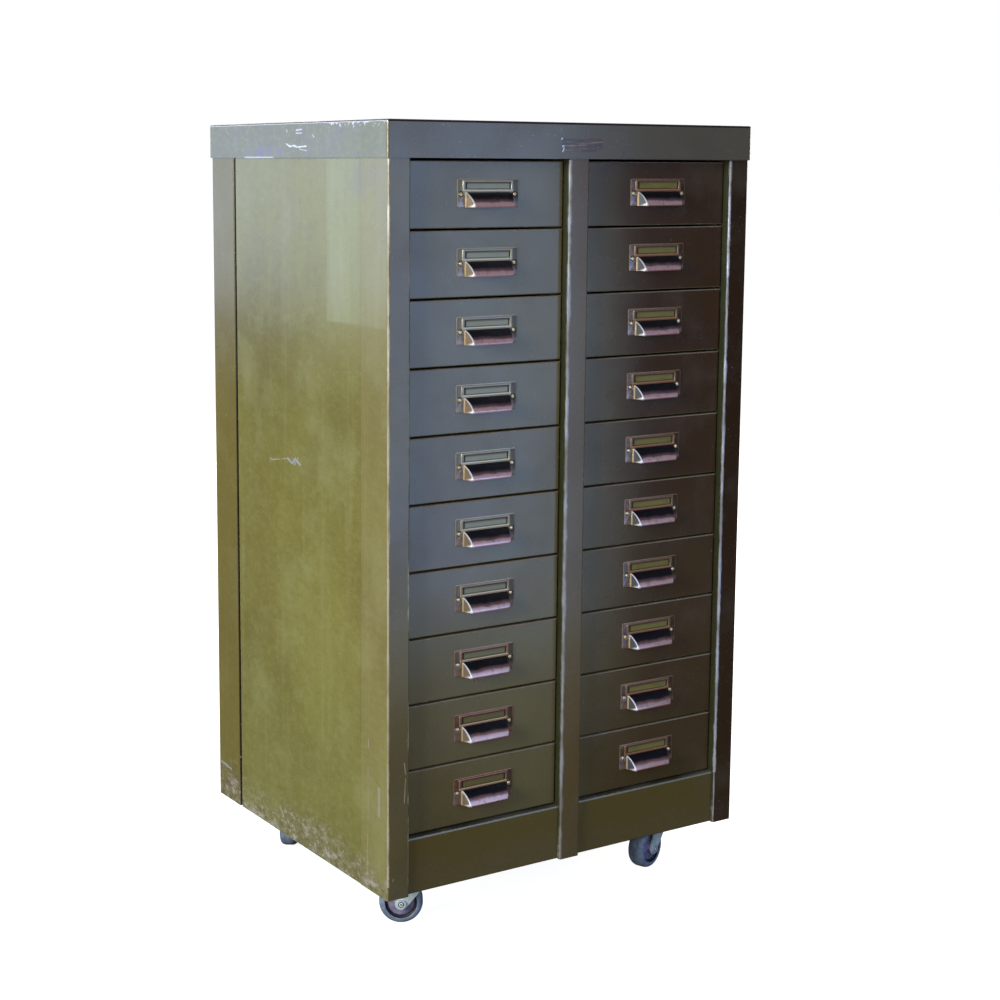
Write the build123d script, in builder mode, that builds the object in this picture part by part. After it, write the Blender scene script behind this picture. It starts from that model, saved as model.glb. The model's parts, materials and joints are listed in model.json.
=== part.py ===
"""A twenty-drawer steel filing cabinet on four swivel casters, built as a kit of separate pieces.

Frame: +X to the right seen from the front, +Y to the back, +Z up, millimetres. The origin is on
the floor, under the middle of the whole cabinet.
"""
from build123d import *
import os
from math import cos, radians, sin

# ---- casing -------------------------------------------------------------------------------
body_width = 610.0
body_depth = 518.0
body_height = 996.4          # from the body's lower edge to the lower edge of the cap
floor_clearance = 72.0       # from the floor to the body's lower edge
cap_height = 49.0
cap_overhang = 2.4
cap_edge_radius = 3.0
cap_hem_height = 8.0
sheet = 1.2                  # casing steel
bend_radius = 2.4            # outside radius of the casing's folds

post_width = 34.0            # front face of each corner post
post_depth = 27.0            # how far a post's folds reach behind its front face
post_lip = 24.0              # the post's inner leg, turned back towards the side
corner_wrap = 72.0           # how far the front corner reaches along the side
lap_step = 0.8               # the side skin lies this much deeper than the corner
rear_wrap = 73.0             # how far a rear post reaches along the side and the back
seam_gap = 3.0               # open seam between a side skin and its rear post
seam_depth = 14.0
stile_width = 33.4
back_lap = 13.0              # the back panel reaches this far behind each rear post

kick_height = 79.4
kick_recess = 6.0
pan_rise = 9.0               # underside of the bottom pan above the body's lower edge

# ---- drawers ------------------------------------------------------------------------------
columns = 2
rows = 10
drawer_pitch = 91.4
row_gap = 3.0                # between one drawer front and the next above it
side_gap = 1.5               # between a drawer front and each upright
kick_gap = 2.6
drawer_recess = 13.3         # drawer faces behind the faces of the uprights
drawer_sheet = 0.9
front_edge = 1.2             # bevel round each drawer face
front_fold = 12.0            # depth of the folded drawer front
front_lip = 8.0              # inner edge of the folded front, where the tray is welded
tray_inset = 4.0             # between the tray and the drawer opening, each side
tray_rise = 6.0              # underside of the tray above the front's lower edge
tray_height = 68.0
tray_tail_gap = 5.0          # between the tray and the back panel
tray_hem = 6.0

runner_reach = 12.0          # runner's level leg, under the tray
runner_drop = 12.0           # runner's upright leg
seat_gap = 0.3               # a tray over its runner, a yoke between its races

# ---- pulls --------------------------------------------------------------------------------
pull_width = 98.6
pull_height = 40.2
pull_corner = 2.0            # bevel across each corner of the plate
pull_plate = 1.0
frame_width = 82.0
frame_height = 18.0
frame_raise = 1.5
window_width = 73.0
window_height = 9.4
window_above_frame_foot = 3.6
hood_width = 74.6
hood_lip_width = 64.6
hood_height = 20.5
hood_depth = 17.0
hood_lip_height = 4.0        # upright stretch above the lip
hood_nose_radius = 9.0
hood_sheet = 1.1

# ---- casters ------------------------------------------------------------------------------
caster_inset_x = 92.0
caster_inset_y = 70.0
wheel_radius = 31.0
wheel_width = 26.0
caster_trail = 24.0
axle_radius = 4.0
axle_clearance = 0.08
hub_side_gap = 1.0
yoke_sheet = 2.6
yoke_boss_radius = 9.0
yoke_crown_radius = 21.0
yoke_wheel_gap = 5.0         # between the wheel and the yoke's crown
yoke_top_length = 34.0
axle_head_radius = 6.5
axle_head = 3.0
plate_length = 70.0
plate_breadth = 58.0
plate_thickness = 3.0
kingpin_radius = 5.0
kingpin_head_radius = 8.0
kingpin_head = 2.5
race_radius = 18.0
caster_turns = {             # where each wheel trails, in degrees from +X, seen from above
    "front_left": 149.0,
    "front_right": 199.0,
    "rear_left": 234.0,
    "rear_right": 60.0,
}

# ---- places that follow from the sizes ----------------------------------------------------
half_width = body_width / 2
pull_proud = hood_depth - drawer_recess
front_y = -(body_depth + cap_overhang - max(cap_overhang, pull_proud)) / 2
rear_y = front_y + body_depth
base_z = floor_clearance
cap_z = base_z + body_height
roof_z = cap_z + cap_height
casing_rise = body_height + cap_height - sheet
opening_width = half_width - post_width - stile_width / 2
drawer_face_y = front_y + drawer_recess
tray_front_y = drawer_face_y + front_fold
drawer_width = opening_width - 2 * side_gap
drawer_height = drawer_pitch - row_gap
tray_width = opening_width - 2 * tray_inset
inner_back_y = rear_y - 2 * sheet
tray_length = inner_back_y - tray_tail_gap - tray_front_y
first_row_z = base_z + kick_height + kick_gap
pan_z = base_z + pan_rise
column_x = {"L": -(stile_width + opening_width) / 2, "R": (stile_width + opening_width) / 2}
caster_x = half_width - caster_inset_x
caster_y = body_depth / 2 - caster_inset_y
caster_places = {
    "front_left": (-caster_x, front_y + caster_inset_y),
    "front_right": (caster_x, front_y + caster_inset_y),
    "rear_left": (-caster_x, rear_y - caster_inset_y),
    "rear_right": (caster_x, rear_y - caster_inset_y),
}

os.makedirs("parts", exist_ok=True)


def keep(piece, label):
    """Label one finished piece and write it."""
    piece.part.label = label
    export_step(piece.part, f"parts/{label}.step")


def front_plane(x, y, z):
    """A plane that faces the front: its x is +X, its y is +Z and its normal is -Y."""
    return Plane(origin=(x, y, z), x_dir=(1, 0, 0), z_dir=(0, -1, 0))


# ---- top cap: a pan of folded sheet, hemmed round its lower edge ---------------------------
cap_width = body_width + 2 * cap_overhang
cap_depth = body_depth + 2 * cap_overhang
cap_middle_y = (front_y + rear_y) / 2
with BuildPart() as top_cap:
    with BuildSketch(Plane((0, cap_middle_y, cap_z))):
        RectangleRounded(cap_width, cap_depth, cap_edge_radius)
    extrude(amount=cap_height)
    fillet(top_cap.faces().sort_by(Axis.Z)[-1].edges(), cap_edge_radius - sheet / 2)
    with BuildSketch(Plane((0, cap_middle_y, cap_z))):
        Rectangle(cap_width - 2 * sheet, cap_depth - 2 * sheet)
    extrude(amount=cap_height - sheet, mode=Mode.SUBTRACT)
    with BuildSketch(Plane((0, cap_middle_y, cap_z))):
        Rectangle(cap_width - 2 * sheet, cap_depth - 2 * sheet)
        Rectangle(body_width, body_depth, mode=Mode.SUBTRACT)
    extrude(amount=cap_hem_height)
keep(top_cap, "top_cap")


# ---- sides: front corner post and side skin, folded from one sheet -------------------------
side_outline = [
    (-half_width + post_width - post_lip, front_y + post_depth),
    (-half_width + post_width, front_y + post_depth),
    (-half_width + post_width, front_y),
    (-half_width, front_y),
    (-half_width, front_y + corner_wrap),
    (-half_width + lap_step, front_y + corner_wrap + 2 * lap_step),
    (-half_width + lap_step, rear_y - rear_wrap - seam_gap),
    (-half_width + seam_depth, rear_y - rear_wrap - seam_gap),
]
side_bends = [bend_radius, bend_radius, bend_radius, 0, 0, bend_radius]
with BuildPart() as side_left:
    with BuildSketch(Plane.XY.offset(base_z)):
        with BuildLine():
            FilletPolyline(*side_outline, radius=side_bends)
            offset(amount=sheet, side=Side.RIGHT)
        make_face()
    extrude(amount=casing_rise)
keep(side_left, "side_left")

with BuildPart() as side_right:
    mirror(side_left.part, about=Plane.YZ)
keep(side_right, "side_right")

# ---- rear posts: the corner of the back, with a lip into the open seam ---------------------
rear_outline = [
    (-half_width + seam_depth, rear_y - rear_wrap),
    (-half_width, rear_y - rear_wrap),
    (-half_width, rear_y),
    (-half_width + rear_wrap, rear_y),
]
with BuildPart() as rear_post_left:
    with BuildSketch(Plane.XY.offset(base_z)):
        with BuildLine():
            FilletPolyline(*rear_outline, radius=bend_radius)
            offset(amount=sheet, side=Side.RIGHT)
        make_face()
    extrude(amount=casing_rise)
keep(rear_post_left, "rear_post_left")

with BuildPart() as rear_post_right:
    mirror(rear_post_left.part, about=Plane.YZ)
keep(rear_post_right, "rear_post_right")

# ---- back panel: a flat sheet lapped behind both rear posts --------------------------------
back_width = body_width - 2 * (rear_wrap - back_lap)
with BuildPart() as back_panel:
    with BuildSketch(front_plane(0, inner_back_y + sheet, base_z)):
        Rectangle(back_width, casing_rise, align=(Align.CENTER, Align.MIN))
    extrude(amount=sheet)
keep(back_panel, "back_panel")

# ---- centre stile: a channel between the two columns, cut away over the kick panel ---------
kick_back_y = front_y + post_depth + sheet
kick_top_z = base_z + kick_height
with BuildPart() as center_stile:
    with BuildSketch(Plane((0, front_y, base_z))):
        with BuildLine():
            FilletPolyline(
                (-stile_width / 2, post_depth),
                (-stile_width / 2, 0),
                (stile_width / 2, 0),
                (stile_width / 2, post_depth),
                radius=bend_radius,
            )
            offset(amount=sheet, side=Side.LEFT)
        make_face()
    extrude(amount=casing_rise)
    with BuildSketch(Plane((0, front_y + kick_recess, base_z))):
        Rectangle(stile_width, post_depth, align=(Align.CENTER, Align.MIN))
    extrude(amount=kick_height, mode=Mode.SUBTRACT)
keep(center_stile, "center_stile")

# ---- centre partition: two walls behind the stile, joined by a web on the back panel -------
partition_width = stile_width - 2 * sheet
partition_rise = roof_z - sheet - pan_z - sheet
with BuildPart() as center_partition:
    with BuildSketch(Plane((0, inner_back_y, pan_z + sheet))):
        with BuildLine():
            Polyline(
                (-partition_width / 2, front_y + post_depth / 2 - inner_back_y),
                (-partition_width / 2, 0),
                (partition_width / 2, 0),
                (partition_width / 2, front_y + post_depth / 2 - inner_back_y),
            )
            offset(amount=sheet, side=Side.RIGHT)
        make_face()
    extrude(amount=partition_rise)
    with BuildSketch(Plane((0, front_y, pan_z + sheet))):
        Rectangle(stile_width, kick_back_y - front_y, align=(Align.CENTER, Align.MIN))
    extrude(amount=kick_top_z - pan_z - sheet, mode=Mode.SUBTRACT)
keep(center_partition, "center_partition")

# ---- kick panel: a channel between the corner posts, folded back at its top and bottom -----
kick_width = body_width - 2 * post_width
with BuildPart() as kick_panel:
    with BuildSketch(Plane.YZ.offset(-kick_width / 2)):
        with BuildLine():
            FilletPolyline(
                (kick_back_y, base_z),
                (front_y + kick_recess, base_z),
                (front_y + kick_recess, kick_top_z),
                (kick_back_y, kick_top_z),
                radius=bend_radius,
            )
            offset(amount=sheet, side=Side.RIGHT)
        make_face()
    extrude(amount=kick_width)
keep(kick_panel, "kick_panel")

# ---- bottom pan: a flanged floor that the casters bolt to, notched round the side folds ----
pan_width = body_width - 2 * (lap_step + sheet)
pan_depth = inner_back_y - kick_back_y
notch_width = seam_depth
notch_depth = seam_gap + 4 * sheet
with BuildPart() as bottom_pan:
    with BuildSketch(Plane((0, kick_back_y, base_z))):
        Rectangle(pan_width, pan_depth, align=(Align.CENTER, Align.MIN))
    extrude(amount=pan_rise + sheet)
    with BuildSketch(Plane((0, kick_back_y + sheet, base_z))):
        Rectangle(pan_width - 2 * sheet, pan_depth - 2 * sheet, align=(Align.CENTER, Align.MIN))
    extrude(amount=pan_rise, mode=Mode.SUBTRACT)
    with BuildSketch(Plane((0, rear_y - rear_wrap - seam_gap / 2, base_z))):
        with Locations((-half_width, 0), (half_width, 0)):
            Rectangle(2 * notch_width, notch_depth)
    extrude(amount=pan_rise + sheet, mode=Mode.SUBTRACT)
keep(bottom_pan, "bottom_pan")


# ---- drawer runners: angles that each tray slides on, tabbed to the corner posts -----------
def runner(column, side, row):
    """One angle: side is -1 at the left of its drawer and +1 at the right."""
    outer = (column == "L") == (side < 0)
    edge_x = column_x[column] + side * opening_width / 2
    top_z = first_row_z + row * drawer_pitch + tray_rise - seat_gap
    back_y = rear_y - sheet if outer else inner_back_y
    length = back_y - kick_back_y
    with BuildPart() as angle:
        with BuildSketch(front_plane(edge_x, back_y, top_z)):
            with Locations((-side * runner_reach, 0)):
                Rectangle(
                    runner_reach + sheet, sheet,
                    align=(Align.MIN if side > 0 else Align.MAX, Align.MAX),
                )
            Rectangle(
                sheet, runner_drop,
                align=(Align.MIN if side > 0 else Align.MAX, Align.MAX),
            )
        extrude(amount=length)
        if outer:
            for tab_y in (back_y, kick_back_y + sheet):
                with BuildSketch(front_plane(edge_x, tab_y, top_z)):
                    Rectangle(
                        post_lip, runner_drop,
                        align=(Align.MIN if side > 0 else Align.MAX, Align.MAX),
                    )
                extrude(amount=sheet)
    return angle.part


runners = [
    runner(column, side, row) for row in range(rows) for column in column_x for side in (-1, 1)
]
drawer_runners = Compound(label="drawer_runners", children=runners)
export_step(drawer_runners, "parts/drawer_runners.step")


# ---- drawers: a folded double front carrying an open tray ----------------------------------
def drawer(x, z):
    """One drawer; z is the height of its front's lower edge."""
    with BuildPart() as body:
        with BuildSketch(front_plane(x, tray_front_y, z)):
            Rectangle(drawer_width, drawer_height, align=(Align.CENTER, Align.MIN))
        extrude(amount=front_fold)
        chamfer(body.faces().sort_by(Axis.Y)[0].edges(), front_edge)
        with BuildSketch(front_plane(x, tray_front_y - drawer_sheet, z + drawer_sheet)):
            Rectangle(
                drawer_width - 2 * drawer_sheet, drawer_height - 2 * drawer_sheet,
                align=(Align.CENTER, Align.MIN),
            )
        extrude(amount=front_fold - 2 * drawer_sheet, mode=Mode.SUBTRACT)
        with BuildSketch(front_plane(x, tray_front_y, z + front_lip)):
            Rectangle(
                drawer_width - 2 * front_lip, drawer_height - 2 * front_lip,
                align=(Align.CENTER, Align.MIN),
            )
        extrude(amount=drawer_sheet, mode=Mode.SUBTRACT)
        tray_plane = Plane((x, tray_front_y + tray_length / 2, z + tray_rise))
        with BuildSketch(tray_plane):
            Rectangle(tray_width, tray_length)
        extrude(amount=tray_height)
        with BuildSketch(tray_plane.offset(drawer_sheet)):
            Rectangle(tray_width - 2 * drawer_sheet, tray_length - 2 * drawer_sheet)
        extrude(amount=tray_height - drawer_sheet, mode=Mode.SUBTRACT)
        with BuildSketch(tray_plane.offset(tray_height - tray_hem)):
            Rectangle(tray_width, tray_length)
            Rectangle(
                tray_width - 4 * drawer_sheet, tray_length - 4 * drawer_sheet,
                mode=Mode.SUBTRACT,
            )
        extrude(amount=tray_hem)
    return body


# ---- pulls: one pressing with a label frame over a cup for the fingers ---------------------
def pull(x, z):
    """One pull; z is the height of its plate's lower edge."""
    seat = front_plane(x, drawer_face_y, z)
    end_plane = Plane(
        origin=(x + hood_width / 2, drawer_face_y, z), x_dir=(0, -1, 0), z_dir=(-1, 0, 0)
    )
    with BuildPart() as pressing:
        with BuildSketch(end_plane) as hood_end:
            with BuildLine():
                Polyline(
                    (0, 0), (hood_depth, 0), (hood_depth, hood_lip_height), (0, hood_height),
                    close=True,
                )
            make_face()
            fillet(hood_end.vertices().group_by(Axis.X)[-1].sort_by(Axis.Y)[-1], hood_nose_radius)
        extrude(amount=hood_width)
        with BuildSketch(Plane((x, drawer_face_y, z))):
            with BuildLine():
                Polyline(
                    (-hood_width / 2, 0), (hood_width / 2, 0),
                    (hood_lip_width / 2, -hood_depth), (-hood_lip_width / 2, -hood_depth),
                    close=True,
                )
            make_face()
        extrude(amount=hood_height, mode=Mode.INTERSECT)
        offset(
            amount=-hood_sheet,
            openings=[
                pressing.faces().sort_by(Axis.Z)[0],
                pressing.faces().sort_by(Axis.Y)[-1],
            ],
        )
        with BuildSketch(seat) as plate:
            Rectangle(pull_width, pull_height, align=(Align.CENTER, Align.MIN))
            chamfer(plate.vertices(), pull_corner)
            Rectangle(
                hood_width - 2 * hood_sheet, hood_height - hood_sheet,
                align=(Align.CENTER, Align.MIN), mode=Mode.SUBTRACT,
            )
        extrude(amount=pull_plate)
        with BuildSketch(seat):
            with Locations((0, hood_height)):
                Rectangle(frame_width, frame_height, align=(Align.CENTER, Align.MIN))
        extrude(amount=pull_plate + frame_raise)
        with BuildSketch(seat):
            with Locations((0, hood_height + window_above_frame_foot)):
                Rectangle(window_width, window_height, align=(Align.CENTER, Align.MIN))
        extrude(amount=pull_plate + frame_raise, mode=Mode.SUBTRACT)
    return pressing


pull_rise = (drawer_height - pull_height) / 2
for column, middle_x in column_x.items():
    for row in range(rows):
        name = f"{column}{rows - row:02d}"
        front_z = first_row_z + row * drawer_pitch
        keep(drawer(middle_x, front_z), f"drawer_{name}")
        keep(pull(middle_x, front_z + pull_rise), f"pull_{name}")

# ---- caster mounts: bolted plates, each with its upper race and kingpin --------------------
plate_z = pan_z - plate_thickness
crown_z = 2 * wheel_radius + yoke_wheel_gap
race_z = crown_z + yoke_sheet + seat_gap
pin_head_z = crown_z - seat_gap - kingpin_head
with BuildPart() as caster_mounts:
    with BuildSketch(Plane.XY.offset(plate_z)):
        with Locations(*caster_places.values()):
            Rectangle(plate_breadth, plate_length)
    extrude(amount=plate_thickness)
    with BuildSketch(Plane.XY.offset(race_z)):
        with Locations(*caster_places.values()):
            Circle(race_radius)
    extrude(amount=plate_z - race_z)
    with BuildSketch(Plane.XY.offset(pin_head_z)):
        with Locations(*caster_places.values()):
            Circle(kingpin_radius)
    extrude(amount=race_z - pin_head_z)
    with BuildSketch(Plane.XY.offset(pin_head_z)):
        with Locations(*caster_places.values()):
            Circle(kingpin_head_radius)
    extrude(amount=kingpin_head)
keep(caster_mounts, "caster_mounts")


# ---- casters: a yoke that swivels on the kingpin, and the wheel that it trails --------------
def wheel_plane(place, turn):
    """The wheel's middle plane: x points to the kingpin, y up, and the normal is the axle."""
    ahead = (cos(radians(turn)), sin(radians(turn)))
    centre = (
        place[0] + caster_trail * ahead[0],
        place[1] + caster_trail * ahead[1],
        wheel_radius,
    )
    return Plane(origin=centre, x_dir=(-ahead[0], -ahead[1], 0), z_dir=(-ahead[1], ahead[0], 0))


def caster_yoke(place, turn):
    """The pressed yoke with its axle riveted through both legs."""
    middle = wheel_plane(place, turn)
    leg_inner = wheel_width / 2 + hub_side_gap
    leg_outer = leg_inner + yoke_sheet
    crown_plane = Plane(origin=(place[0], place[1], crown_z), x_dir=middle.x_dir, z_dir=(0, 0, 1))
    with BuildPart() as yoke:
        with BuildSketch(crown_plane):
            Circle(yoke_crown_radius)
            Rectangle(yoke_top_length, 2 * leg_outer)
        extrude(amount=yoke_sheet)
        with BuildSketch(crown_plane):
            Circle(kingpin_radius + axle_clearance)
        extrude(amount=yoke_sheet, mode=Mode.SUBTRACT)
        for turned in (1, -1):
            with BuildSketch(middle.offset(turned * leg_inner)):
                with BuildLine():
                    CenterArc((0, 0), yoke_boss_radius, 0, 360)
                    Line(
                        (caster_trail - yoke_top_length / 2, crown_z - wheel_radius),
                        (caster_trail + yoke_top_length / 2, crown_z - wheel_radius),
                    )
                make_hull()
            extrude(amount=turned * yoke_sheet)
            with BuildSketch(middle.offset(turned * leg_outer)):
                Circle(axle_head_radius)
            extrude(amount=turned * axle_head)
        with BuildSketch(middle.offset(-leg_outer)):
            Circle(axle_radius)
        extrude(amount=2 * leg_outer)
    return yoke


def caster_wheel(place, turn):
    """A solid hard rubber wheel, bored to run on the yoke's axle."""
    with BuildPart() as wheel:
        with BuildSketch(wheel_plane(place, turn).offset(-wheel_width / 2)):
            Circle(wheel_radius)
            Circle(axle_radius + axle_clearance, mode=Mode.SUBTRACT)
        extrude(amount=wheel_width)
    return wheel


for corner, place in caster_places.items():
    keep(caster_yoke(place, caster_turns[corner]), f"caster_yoke_{corner}")
    keep(caster_wheel(place, caster_turns[corner]), f"caster_wheel_{corner}")
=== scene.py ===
"""The looks of the filing cabinet: worn enamel, bronzed pulls, rubber wheels, light and camera."""
import json
import math

import bmesh
import bpy
from mathutils import Matrix, Vector


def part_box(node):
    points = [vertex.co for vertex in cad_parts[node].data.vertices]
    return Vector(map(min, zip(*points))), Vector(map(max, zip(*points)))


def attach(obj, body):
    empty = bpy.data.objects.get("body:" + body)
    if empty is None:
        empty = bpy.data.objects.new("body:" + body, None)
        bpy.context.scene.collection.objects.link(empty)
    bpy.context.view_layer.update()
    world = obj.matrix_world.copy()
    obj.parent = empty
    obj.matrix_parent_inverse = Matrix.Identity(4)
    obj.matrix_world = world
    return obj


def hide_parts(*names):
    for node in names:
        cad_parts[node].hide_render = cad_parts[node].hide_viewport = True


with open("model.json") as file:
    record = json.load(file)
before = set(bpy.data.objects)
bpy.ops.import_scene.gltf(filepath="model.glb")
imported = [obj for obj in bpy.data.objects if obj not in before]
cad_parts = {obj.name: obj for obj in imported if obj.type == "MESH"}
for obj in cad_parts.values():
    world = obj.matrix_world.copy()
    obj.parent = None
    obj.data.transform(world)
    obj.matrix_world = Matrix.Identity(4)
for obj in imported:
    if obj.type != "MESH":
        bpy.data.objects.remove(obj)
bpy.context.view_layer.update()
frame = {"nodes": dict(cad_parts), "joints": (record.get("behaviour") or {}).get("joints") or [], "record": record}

ROWS = 10
COLUMNS = ("L", "R")
CORNERS = ("front_left", "front_right", "rear_left", "rear_right")
MM = 0.001

# ---- sizes and places from the frame ---------------------------------
body_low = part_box("side_left")[0]
cap_low, cap_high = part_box("top_cap")
post_low, post_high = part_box("rear_post_left")
kick_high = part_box("kick_panel")[1]
stile_low, stile_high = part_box("center_stile")
drawer_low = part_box("drawer_L10")[0]
pull_low, pull_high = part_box("pull_L10")
LEFT_X = body_low[0]
RIGHT_X = -LEFT_X
FRONT_Y = body_low[1]
REAR_Y = post_high[1]
BASE_Z = body_low[2]
CAP_Z = cap_low[2]
ROOF_Z = cap_high[2]
KICK_Z = kick_high[2]
DRAWER_Y = drawer_low[1]
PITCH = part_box("drawer_L09")[0][2] - drawer_low[2]
POST_WIDTH = RIGHT_X - kick_high[0]
SEAM_Y = post_low[1] - 1.5 * MM      # the middle of the open seam before each rear post
WRAP_Y = FRONT_Y + 72.0 * MM         # where the corner post's fold ends on each side

# The pressed pulls: a plate, a label frame with its window and a hood over the fingers.
# They sit a little higher and further right than their plain nodes, as on the real drawers.
PULL_LIFT = 3.2 * MM
PULL_SHIFT = {"L": 1.5 * MM, "R": 4.0 * MM}
PULL_HEIGHT = 38.0 * MM
PULL_Z = pull_low[2] + PULL_LIFT
PULL_MIDDLE = (pull_low[0] + pull_high[0]) / 2
PULL_X = {"L": PULL_MIDDLE + PULL_SHIFT["L"], "R": -PULL_MIDDLE + PULL_SHIFT["R"]}
HALF_PULL = (pull_high[0] - pull_low[0]) / 2
PLATE = 1.0 * MM
CORNER = 2.4 * MM
FRAME_WIDTH = 82.0 * MM
FRAME_HEIGHT = 16.0 * MM
FRAME_OUT = 1.5 * MM
WINDOW_WIDTH = 73.0 * MM
WINDOW_HEIGHT = 9.4 * MM
WINDOW_FOOT = 3.6 * MM
HOOD_WIDTH = 74.6 * MM
HOOD_LIP_WIDTH = 64.6 * MM
HOOD_HEIGHT = 20.5 * MM
HOOD_DEPTH = pull_high[1] - pull_low[1]
HOOD_LEAN = (HOOD_WIDTH - HOOD_LIP_WIDTH) / 2 / HOOD_DEPTH
HOOD_LIP = 1.6 * MM
HOOD_BULGE = 2.3 * MM
HOOD_SHEET = 1.1 * MM
HOOD_ARRIS = 1.9 * MM
WINDOW_Z = HOOD_HEIGHT + WINDOW_FOOT
WINDOW_TOP = WINDOW_Z + WINDOW_HEIGHT
FRAME_TOP = PLATE + FRAME_OUT
RIVET_SPREAD = 86.3 * MM
RIVET_RISE = 17.3 * MM
RIVET_RADIUS = 2.8 * MM


# ---- node graphs -----------------------------------------------------
def rgb(red, green, blue):
    """A linear colour from 0-255 display values."""
    def linear(v):
        v /= 255
        return v / 12.92 if v <= 0.04045 else ((v + 0.055) / 1.055) ** 2.4
    return (linear(red), linear(green), linear(blue), 1.0)


class Graph:
    """One material's nodes, made by short calls that hand back output sockets."""

    def __init__(self, name):
        self.material = bpy.data.materials.new(name)
        self.material.use_nodes = True
        self.tree = self.material.node_tree
        self.tree.nodes.clear()
        self.place = self.node("ShaderNodeTexCoord").outputs["Object"]
        apart = self.node("ShaderNodeSeparateXYZ", {0: self.place})
        self.x, self.y, self.z = apart.outputs
        normal = self.node("ShaderNodeNewGeometry").outputs["Normal"]
        sides = self.node("ShaderNodeSeparateXYZ", {0: normal})
        self.nx, self.ny, self.nz = sides.outputs

    def node(self, kind, inputs=None, **settings):
        made = self.tree.nodes.new(kind)
        for key, value in settings.items():
            setattr(made, key, value)
        for key, value in (inputs or {}).items():
            self.feed(made.inputs[key], value)
        return made

    def feed(self, socket, value):
        if isinstance(value, bpy.types.NodeSocket):
            self.tree.links.new(value, socket)
        else:
            socket.default_value = value

    def math(self, operation, a, b=0.0, clamp=False):
        made = self.node("ShaderNodeMath", {0: a, 1: b}, operation=operation, use_clamp=clamp)
        return made.outputs[0]

    def add(self, a, b):
        return self.math("ADD", a, b)

    def times(self, *values):
        total = values[0]
        for value in values[1:]:
            total = self.math("MULTIPLY", total, value)
        return total

    def most(self, *values):
        total = values[0]
        for value in values[1:]:
            total = self.math("MAXIMUM", total, value)
        return total

    def flip(self, value):
        return self.math("SUBTRACT", 1.0, value)

    def size(self, value):
        return self.math("ABSOLUTE", value)

    def rise(self, value, low, high, bottom=0.0, top=1.0):
        """A smooth step from bottom to top while value goes from low to high."""
        made = self.node(
            "ShaderNodeMapRange",
            {"Value": value, "From Min": low, "From Max": high, "To Min": bottom, "To Max": top},
            interpolation_type="SMOOTHSTEP", clamp=True,
        )
        return made.outputs[0]

    def fall(self, value, low, high):
        """A smooth step from 1 to 0 while value goes from low to high."""
        return self.rise(value, low, high, 1.0, 0.0)

    def within(self, value, low, high, soft):
        """1 between low and high, fading to 0 over soft outside them."""
        return self.times(
            self.rise(value, low - soft, low), self.fall(value, high, high + soft)
        )

    def shaken(self, value, field, reach):
        """A place that wanders by reach with a noise field, so that no border is straight."""
        return self.add(value, self.times(self.add(field, -0.5), reach))

    def spot(self, centre, reach, soft=0.6):
        """A soft ellipsoid patch: 1 at its centre, 0 past its reach on each axis."""
        total = None
        for value, middle, half in zip((self.x, self.y, self.z), centre, reach):
            if half is None:
                continue
            part = self.math("POWER", self.math("DIVIDE", self.add(value, -middle), half), 2.0)
            total = part if total is None else self.add(total, part)
        return self.fall(total, soft, 1.0)

    def scratch(self, start, end, half_width, ragged):
        """1 on the straight line from start to end, fading out raggedly at half_width."""
        start, end = Vector(start), Vector(end)
        run = end - start
        off = self.node(
            "ShaderNodeVectorMath", {0: self.place, 1: start}, operation="SUBTRACT"
        ).outputs["Vector"]
        along = self.node(
            "ShaderNodeVectorMath", {0: off, 1: run / run.length_squared}, operation="DOT_PRODUCT"
        ).outputs["Value"]
        along = self.math("ADD", along, 0.0, clamp=True)
        foot = self.node("ShaderNodeVectorMath", {0: run, "Scale": along}, operation="SCALE")
        away = self.node(
            "ShaderNodeVectorMath", {0: off, 1: foot.outputs["Vector"]}, operation="DISTANCE"
        ).outputs["Value"]
        return self.fall(self.shaken(away, ragged, half_width * 1.8), half_width * 0.5, half_width)

    def noise(self, scale, stretch=(1, 1, 1), shift=(0, 0, 0), detail=3.0, rough=0.55, warp=0.0):
        moved = self.node(
            "ShaderNodeMapping", {"Vector": self.place, "Location": shift, "Scale": stretch}
        )
        made = self.node(
            "ShaderNodeTexNoise",
            {"Vector": moved.outputs[0], "Scale": scale, "Detail": detail, "Roughness": rough,
             "Distortion": warp},
        )
        return made.outputs["Fac"]

    def mix(self, factor, a, b):
        made = self.node("ShaderNodeMix", {0: factor, 6: a, 7: b}, data_type="RGBA")
        return made.outputs[2]

    def coat(self, colour, tone, share, *masks):
        """The colour with this share of a tone over it, where all the masks are 1."""
        return self.mix(self.times(*masks, share), colour, tone)

    def blend(self, factor, a, b):
        """A number that goes from a to b."""
        return self.node("ShaderNodeMix", {0: factor, 2: a, 3: b}).outputs[0]

    def bump(self, height, distance, strength=1.0, under=None):
        """A normal with this height on it, over another normal if there is one."""
        inputs = {"Height": height, "Distance": distance, "Strength": strength}
        if under is not None:
            inputs["Normal"] = under
        return self.node("ShaderNodeBump", inputs).outputs[0]

    def finish(self, **inputs):
        named = {key.replace("_", " "): value for key, value in inputs.items()}
        shader = self.node("ShaderNodeBsdfPrincipled", named)
        out = self.node("ShaderNodeOutputMaterial")
        self.tree.links.new(shader.outputs[0], out.inputs[0])
        return self.material


# ---- enamel ----------------------------------------------------------
OLIVE = rgb(116, 113, 62)
OLIVE_DEEP = rgb(98, 92, 47)
OLIVE_PALE = rgb(128, 130, 92)
FRONT_OLIVE = rgb(105, 97, 66)
# Painted shade in part: the front's brown toward the right stands for the dark the glossy front mirrors, over some
# real brown staining.
FRONT_BROWN_SHADE = rgb(58, 37, 20)
GRIME = rgb(84, 78, 70)
DUST = rgb(126, 120, 104)
# Bare steel, also the colour of the painted highlights along the folds.
BARE_GLINT = rgb(178, 182, 196)
BARE_GLINT_BRIGHT = rgb(214, 216, 222)
BARE_GLINT_CREAM = rgb(206, 194, 160)
PRIMER = rgb(92, 74, 58)


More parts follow.
